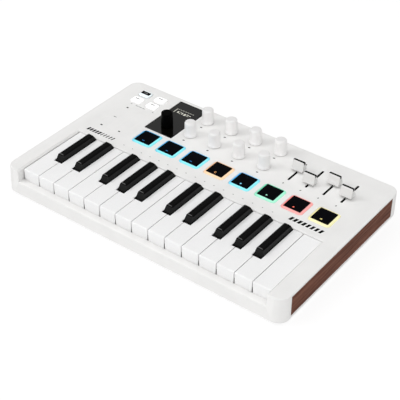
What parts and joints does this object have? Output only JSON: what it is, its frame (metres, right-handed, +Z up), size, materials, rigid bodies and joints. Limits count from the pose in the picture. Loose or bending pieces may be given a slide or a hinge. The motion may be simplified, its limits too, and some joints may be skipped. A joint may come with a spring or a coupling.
{
  "type": "midi keyboard",
  "caption": "Slim two-octave MIDI controller keyboard with square pads, encoder knobs, faders, push buttons, a display window with its encoder, and wood side panels.",
  "frame": {"origin": "plan centre of the case on the surface the foot strips stand on", "axes": "+X to the player's right along the keys, +Y from the player to the rear sockets, +Z up"},
  "size_m": [0.356, 0.22, 0.05],
  "materials": {
    "case_white": "satin moulded plastic, warm white",
    "key_white": "semi-gloss moulded plastic, white",
    "key_black": "gloss black moulded plastic",
    "pad_black": "satin black silicone",
    "knob_white": "satin soft-touch white",
    "button_white": "satin translucent white",
    "knob_black": "satin black",
    "steel": "turned shaft",
    "window_black": "smoked gloss panel",
    "walnut": "oiled dark walnut",
    "cover_grey": "fine matte texture",
    "frame_grey": "matte dark grey",
    "board_green": "solder resist green",
    "rubber_dark": "matte black rubber"
  },
  "bodies": {
    "case": {"top_cover": "case_white", "bottom_cover": "cover_grey", "side_panel_left": "walnut", "side_panel_right": "walnut", "display_window": "window_black", "key_frame": "frame_grey", "main_board": "board_green", "foot_strip_front": "rubber_dark", "foot_strip_rear": "rubber_dark"},
    "white_key_01": {"white_key_01": "key_white"},
    "white_key_02": {"white_key_02": "key_white"},
    "white_key_03": {"white_key_03": "key_white"},
    "white_key_04": {"white_key_04": "key_white"},
    "white_key_05": {"white_key_05": "key_white"},
    "white_key_06": {"white_key_06": "key_white"},
    "white_key_07": {"white_key_07": "key_white"},
    "white_key_08": {"white_key_08": "key_white"},
    "white_key_09": {"white_key_09": "key_white"},
    "white_key_10": {"white_key_10": "key_white"},
    "white_key_11": {"white_key_11": "key_white"},
    "white_key_12": {"white_key_12": "key_white"},
    "white_key_13": {"white_key_13": "key_white"},
    "white_key_14": {"white_key_14": "key_white"},
    "white_key_15": {"white_key_15": "key_white"},
    "black_key_01": {"black_key_01": "key_black"},
    "black_key_02": {"black_key_02": "key_black"},
    "black_key_03": {"black_key_03": "key_black"},
    "black_key_04": {"black_key_04": "key_black"},
    "black_key_05": {"black_key_05": "key_black"},
    "black_key_06": {"black_key_06": "key_black"},
    "black_key_07": {"black_key_07": "key_black"},
    "black_key_08": {"black_key_08": "key_black"},
    "black_key_09": {"black_key_09": "key_black"},
    "black_key_10": {"black_key_10": "key_black"},
    "pad_1": {"pad_1": "pad_black"},
    "pad_2": {"pad_2": "pad_black"},
    "pad_3": {"pad_3": "pad_black"},
    "pad_4": {"pad_4": "pad_black"},
    "pad_5": {"pad_5": "pad_black"},
    "pad_6": {"pad_6": "pad_black"},
    "pad_7": {"pad_7": "pad_black"},
    "pad_8": {"pad_8": "pad_black"},
    "encoder_knob_1": {"encoder_knob_1": "knob_white"},
    "encoder_knob_2": {"encoder_knob_2": "knob_white"},
    "encoder_knob_3": {"encoder_knob_3": "knob_white"},
    "encoder_knob_4": {"encoder_knob_4": "knob_white"},
    "encoder_knob_5": {"encoder_knob_5": "knob_white"},
    "encoder_knob_6": {"encoder_knob_6": "knob_white"},
    "encoder_knob_7": {"encoder_knob_7": "knob_white"},
    "encoder_knob_8": {"encoder_knob_8": "knob_white"},
    "fader_cap_1": {"fader_cap_1": "key_white"},
    "fader_cap_2": {"fader_cap_2": "key_white"},
    "fader_cap_3": {"fader_cap_3": "key_white"},
    "fader_cap_4": {"fader_cap_4": "key_white"},
    "shift_button": {"shift_button": "button_white"},
    "hold_button": {"hold_button": "button_white"},
    "octave_down_button": {"octave_down_button": "button_white"},
    "octave_up_button": {"octave_up_button": "button_white"},
    "main_encoder_shaft": {"main_encoder_shaft": "steel"},
    "main_encoder_knob": {"main_encoder_knob": "knob_black"}
  },
  "joints": [
    {"name": "white_key_01_press", "type": "hinge", "parent": "case", "child": "white_key_01", "pos_m": [-0.1477, 0.003, 0.0235], "axis": [1, 0, 0], "range_deg": [0, 4.2], "stiffness_Nm_per_rad": 0.41, "springref_deg": -4.2},
    {"name": "white_key_02_press", "type": "hinge", "parent": "case", "child": "white_key_02", "pos_m": [-0.1266, 0.003, 0.0235], "axis": [1, 0, 0], "range_deg": [0, 4.2], "stiffness_Nm_per_rad": 0.41, "springref_deg": -4.2},
    {"name": "white_key_03_press", "type": "hinge", "parent": "case", "child": "white_key_03", "pos_m": [-0.1055, 0.003, 0.0235], "axis": [1, 0, 0], "range_deg": [0, 4.2], "stiffness_Nm_per_rad": 0.41, "springref_deg": -4.2},
    {"name": "white_key_04_press", "type": "hinge", "parent": "case", "child": "white_key_04", "pos_m": [-0.0844, 0.003, 0.0235], "axis": [1, 0, 0], "range_deg": [0, 4.2], "stiffness_Nm_per_rad": 0.41, "springref_deg": -4.2},
    {"name": "white_key_05_press", "type": "hinge", "parent": "case", "child": "white_key_05", "pos_m": [-0.0633, 0.003, 0.0235], "axis": [1, 0, 0], "range_deg": [0, 4.2], "stiffness_Nm_per_rad": 0.41, "springref_deg": -4.2},
    {"name": "white_key_06_press", "type": "hinge", "parent": "case", "child": "white_key_06", "pos_m": [-0.0422, 0.003, 0.0235], "axis": [1, 0, 0], "range_deg": [0, 4.2], "stiffness_Nm_per_rad": 0.41, "springref_deg": -4.2},
    {"name": "white_key_07_press", "type": "hinge", "parent": "case", "child": "white_key_07", "pos_m": [-0.0211, 0.003, 0.0235], "axis": [1, 0, 0], "range_deg": [0, 4.2], "stiffness_Nm_per_rad": 0.41, "springref_deg": -4.2},
    {"name": "white_key_08_press", "type": "hinge", "parent": "case", "child": "white_key_08", "pos_m": [0, 0.003, 0.0235], "axis": [1, 0, 0], "range_deg": [0, 4.2], "stiffness_Nm_per_rad": 0.41, "springref_deg": -4.2},
    {"name": "white_key_09_press", "type": "hinge", "parent": "case", "child": "white_key_09", "pos_m": [0.0211, 0.003, 0.0235], "axis": [1, 0, 0], "range_deg": [0, 4.2], "stiffness_Nm_per_rad": 0.41, "springref_deg": -4.2},
    {"name": "white_key_10_press", "type": "hinge", "parent": "case", "child": "white_key_10", "pos_m": [0.0422, 0.003, 0.0235], "axis": [1, 0, 0], "range_deg": [0, 4.2], "stiffness_Nm_per_rad": 0.41, "springref_deg": -4.2},
    {"name": "white_key_11_press", "type": "hinge", "parent": "case", "child": "white_key_11", "pos_m": [0.0633, 0.003, 0.0235], "axis": [1, 0, 0], "range_deg": [0, 4.2], "stiffness_Nm_per_rad": 0.41, "springref_deg": -4.2},
    {"name": "white_key_12_press", "type": "hinge", "parent": "case", "child": "white_key_12", "pos_m": [0.0844, 0.003, 0.0235], "axis": [1, 0, 0], "range_deg": [0, 4.2], "stiffness_Nm_per_rad": 0.41, "springref_deg": -4.2},
    {"name": "white_key_13_press", "type": "hinge", "parent": "case", "child": "white_key_13", "pos_m": [0.1055, 0.003, 0.0235], "axis": [1, 0, 0], "range_deg": [0, 4.2], "stiffness_Nm_per_rad": 0.41, "springref_deg": -4.2},
    {"name": "white_key_14_press", "type": "hinge", "parent": "case", "child": "white_key_14", "pos_m": [0.1266, 0.003, 0.0235], "axis": [1, 0, 0], "range_deg": [0, 4.2], "stiffness_Nm_per_rad": 0.41, "springref_deg": -4.2},
    {"name": "white_key_15_press", "type": "hinge", "parent": "case", "child": "white_key_15", "pos_m": [0.1477, 0.003, 0.0235], "axis": [1, 0, 0], "range_deg": [0, 4.2], "stiffness_Nm_per_rad": 0.41, "springref_deg": -4.2},
    {"name": "black_key_01_press", "type": "hinge", "parent": "case", "child": "black_key_01", "pos_m": [-0.13885, 0.003, 0.0235], "axis": [1, 0, 0], "range_deg": [0, 4.2], "stiffness_Nm_per_rad": 0.35, "springref_deg": -4.2},
    {"name": "black_key_02_press", "type": "hinge", "parent": "case", "child": "black_key_02", "pos_m": [-0.11325, 0.003, 0.0235], "axis": [1, 0, 0], "range_deg": [0, 4.2], "stiffness_Nm_per_rad": 0.35, "springref_deg": -4.2},
    {"name": "black_key_03_press", "type": "hinge", "parent": "case", "child": "black_key_03", "pos_m": [-0.07635, 0.003, 0.0235], "axis": [1, 0, 0], "range_deg": [0, 4.2], "stiffness_Nm_per_rad": 0.35, "springref_deg": -4.2},
    {"name": "black_key_04_press", "type": "hinge", "parent": "case", "child": "black_key_04", "pos_m": [-0.05195, 0.003, 0.0235], "axis": [1, 0, 0], "range_deg": [0, 4.2], "stiffness_Nm_per_rad": 0.35, "springref_deg": -4.2},
    {"name": "black_key_05_press", "type": "hinge", "parent": "case", "child": "black_key_05", "pos_m": [-0.02805, 0.003, 0.0235], "axis": [1, 0, 0], "range_deg": [0, 4.2], "stiffness_Nm_per_rad": 0.35, "springref_deg": -4.2},
    {"name": "black_key_06_press", "type": "hinge", "parent": "case", "child": "black_key_06", "pos_m": [0.00885, 0.003, 0.0235], "axis": [1, 0, 0], "range_deg": [0, 4.2], "stiffness_Nm_per_rad": 0.35, "springref_deg": -4.2},
    {"name": "black_key_07_press", "type": "hinge", "parent": "case", "child": "black_key_07", "pos_m": [0.03445, 0.003, 0.0235], "axis": [1, 0, 0], "range_deg": [0, 4.2], "stiffness_Nm_per_rad": 0.35, "springref_deg": -4.2},
    {"name": "black_key_08_press", "type": "hinge", "parent": "case", "child": "black_key_08", "pos_m": [0.07135, 0.003, 0.0235], "axis": [1, 0, 0], "range_deg": [0, 4.2], "stiffness_Nm_per_rad": 0.35, "springref_deg": -4.2},
    {"name": "black_key_09_press", "type": "hinge", "parent": "case", "child": "black_key_09", "pos_m": [0.09575, 0.003, 0.0235], "axis": [1, 0, 0], "range_deg": [0, 4.2], "stiffness_Nm_per_rad": 0.35, "springref_deg": -4.2},
    {"name": "black_key_10_press", "type": "hinge", "parent": "case", "child": "black_key_10", "pos_m": [0.11965, 0.003, 0.0235], "axis": [1, 0, 0], "range_deg": [0, 4.2], "stiffness_Nm_per_rad": 0.35, "springref_deg": -4.2},
    {"name": "pad_1_press", "type": "slide", "parent": "case", "child": "pad_1", "axis": [0, 0, -1], "range_m": [0, 0.0012], "stiffness_N_per_m": 1500, "springref_m": -0.0005},
    {"name": "pad_2_press", "type": "slide", "parent": "case", "child": "pad_2", "axis": [0, 0, -1], "range_m": [0, 0.0012], "stiffness_N_per_m": 1500, "springref_m": -0.0005},
    {"name": "pad_3_press", "type": "slide", "parent": "case", "child": "pad_3", "axis": [0, 0, -1], "range_m": [0, 0.0012], "stiffness_N_per_m": 1500, "springref_m": -0.0005},
    {"name": "pad_4_press", "type": "slide", "parent": "case", "child": "pad_4", "axis": [0, 0, -1], "range_m": [0, 0.0012], "stiffness_N_per_m": 1500, "springref_m": -0.0005},
    {"name": "pad_5_press", "type": "slide", "parent": "case", "child": "pad_5", "axis": [0, 0, -1], "range_m": [0, 0.0012], "stiffness_N_per_m": 1500, "springref_m": -0.0005},
    {"name": "pad_6_press", "type": "slide", "parent": "case", "child": "pad_6", "axis": [0, 0, -1], "range_m": [0, 0.0012], "stiffness_N_per_m": 1500, "springref_m": -0.0005},
    {"name": "pad_7_press", "type": "slide", "parent": "case", "child": "pad_7", "axis": [0, 0, -1], "range_m": [0, 0.0012], "stiffness_N_per_m": 1500, "springref_m": -0.0005},
    {"name": "pad_8_press", "type": "slide", "parent": "case", "child": "pad_8", "axis": [0, 0, -1], "range_m": [0, 0.0012], "stiffness_N_per_m": 1500, "springref_m": -0.0005},
    {"name": "encoder_knob_1_turn", "type": "hinge", "parent": "case", "child": "encoder_knob_1", "pos_m": [-0.056, 0.0564, 0.032], "axis": [0, 0, -1], "continuous": true},
    {"name": "encoder_knob_2_turn", "type": "hinge", "parent": "case", "child": "encoder_knob_2", "pos_m": [-0.0233, 0.0564, 0.032], "axis": [0, 0, -1], "continuous": true},
    {"name": "encoder_knob_3_turn", "type": "hinge", "parent": "case", "child": "encoder_knob_3", "pos_m": [0.0094, 0.0564, 0.032], "axis": [0, 0, -1], "continuous": true},
    {"name": "encoder_knob_4_turn", "type": "hinge", "parent": "case", "child": "encoder_knob_4", "pos_m": [0.0421, 0.0564, 0.032], "axis": [0, 0, -1], "continuous": true},
    {"name": "encoder_knob_5_turn", "type": "hinge", "parent": "case", "child": "encoder_knob_5", "pos_m": [-0.056, 0.0884, 0.032], "axis": [0, 0, -1], "continuous": true},
    {"name": "encoder_knob_6_turn", "type": "hinge", "parent": "case", "child": "encoder_knob_6", "pos_m": [-0.0233, 0.0884, 0.032], "axis": [0, 0, -1], "continuous": true},
    {"name": "encoder_knob_7_turn", "type": "hinge", "parent": "case", "child": "encoder_knob_7", "pos_m": [0.0094, 0.0884, 0.032], "axis": [0, 0, -1], "continuous": true},
    {"name": "encoder_knob_8_turn", "type": "hinge", "parent": "case", "child": "encoder_knob_8", "pos_m": [0.0421, 0.0884, 0.032], "axis": [0, 0, -1], "continuous": true},
    {"name": "fader_cap_1_slide", "type": "slide", "parent": "case", "child": "fader_cap_1", "axis": [0, 1, 0], "range_m": [-0.0176, 0.0124]},
    {"name": "fader_cap_2_slide", "type": "slide", "parent": "case", "child": "fader_cap_2", "axis": [0, 1, 0], "range_m": [-0.0055, 0.0245]},
    {"name": "fader_cap_3_slide", "type": "slide", "parent": "case", "child": "fader_cap_3", "axis": [0, 1, 0], "range_m": [-0.0194, 0.0106]},
    {"name": "fader_cap_4_slide", "type": "slide", "parent": "case", "child": "fader_cap_4", "axis": [0, 1, 0], "range_m": [-0.0093, 0.0207]},
    {"name": "shift_button_press", "type": "slide", "parent": "case", "child": "shift_button", "axis": [0, 0, -1], "range_m": [0, 0.0006], "stiffness_N_per_m": 3000, "springref_m": -0.0003},
    {"name": "hold_button_press", "type": "slide", "parent": "case", "child": "hold_button", "axis": [0, 0, -1], "range_m": [0, 0.0006], "stiffness_N_per_m": 3000, "springref_m": -0.0003},
    {"name": "octave_down_button_press", "type": "slide", "parent": "case", "child": "octave_down_button", "axis": [0, 0, -1], "range_m": [0, 0.0006], "stiffness_N_per_m": 3000, "springref_m": -0.0003},
    {"name": "octave_up_button_press", "type": "slide", "parent": "case", "child": "octave_up_button", "axis": [0, 0, -1], "range_m": [0, 0.0006], "stiffness_N_per_m": 3000, "springref_m": -0.0003},
    {"name": "main_encoder_press", "type": "slide", "parent": "case", "child": "main_encoder_shaft", "axis": [0, 0, -1], "range_m": [0, 0.0006], "stiffness_N_per_m": 4000, "springref_m": -0.0004},
    {"name": "main_encoder_turn", "type": "hinge", "parent": "main_encoder_shaft", "child": "main_encoder_knob", "pos_m": [-0.0882, 0.0555, 0.032], "axis": [0, 0, -1], "continuous": true}
  ]
}
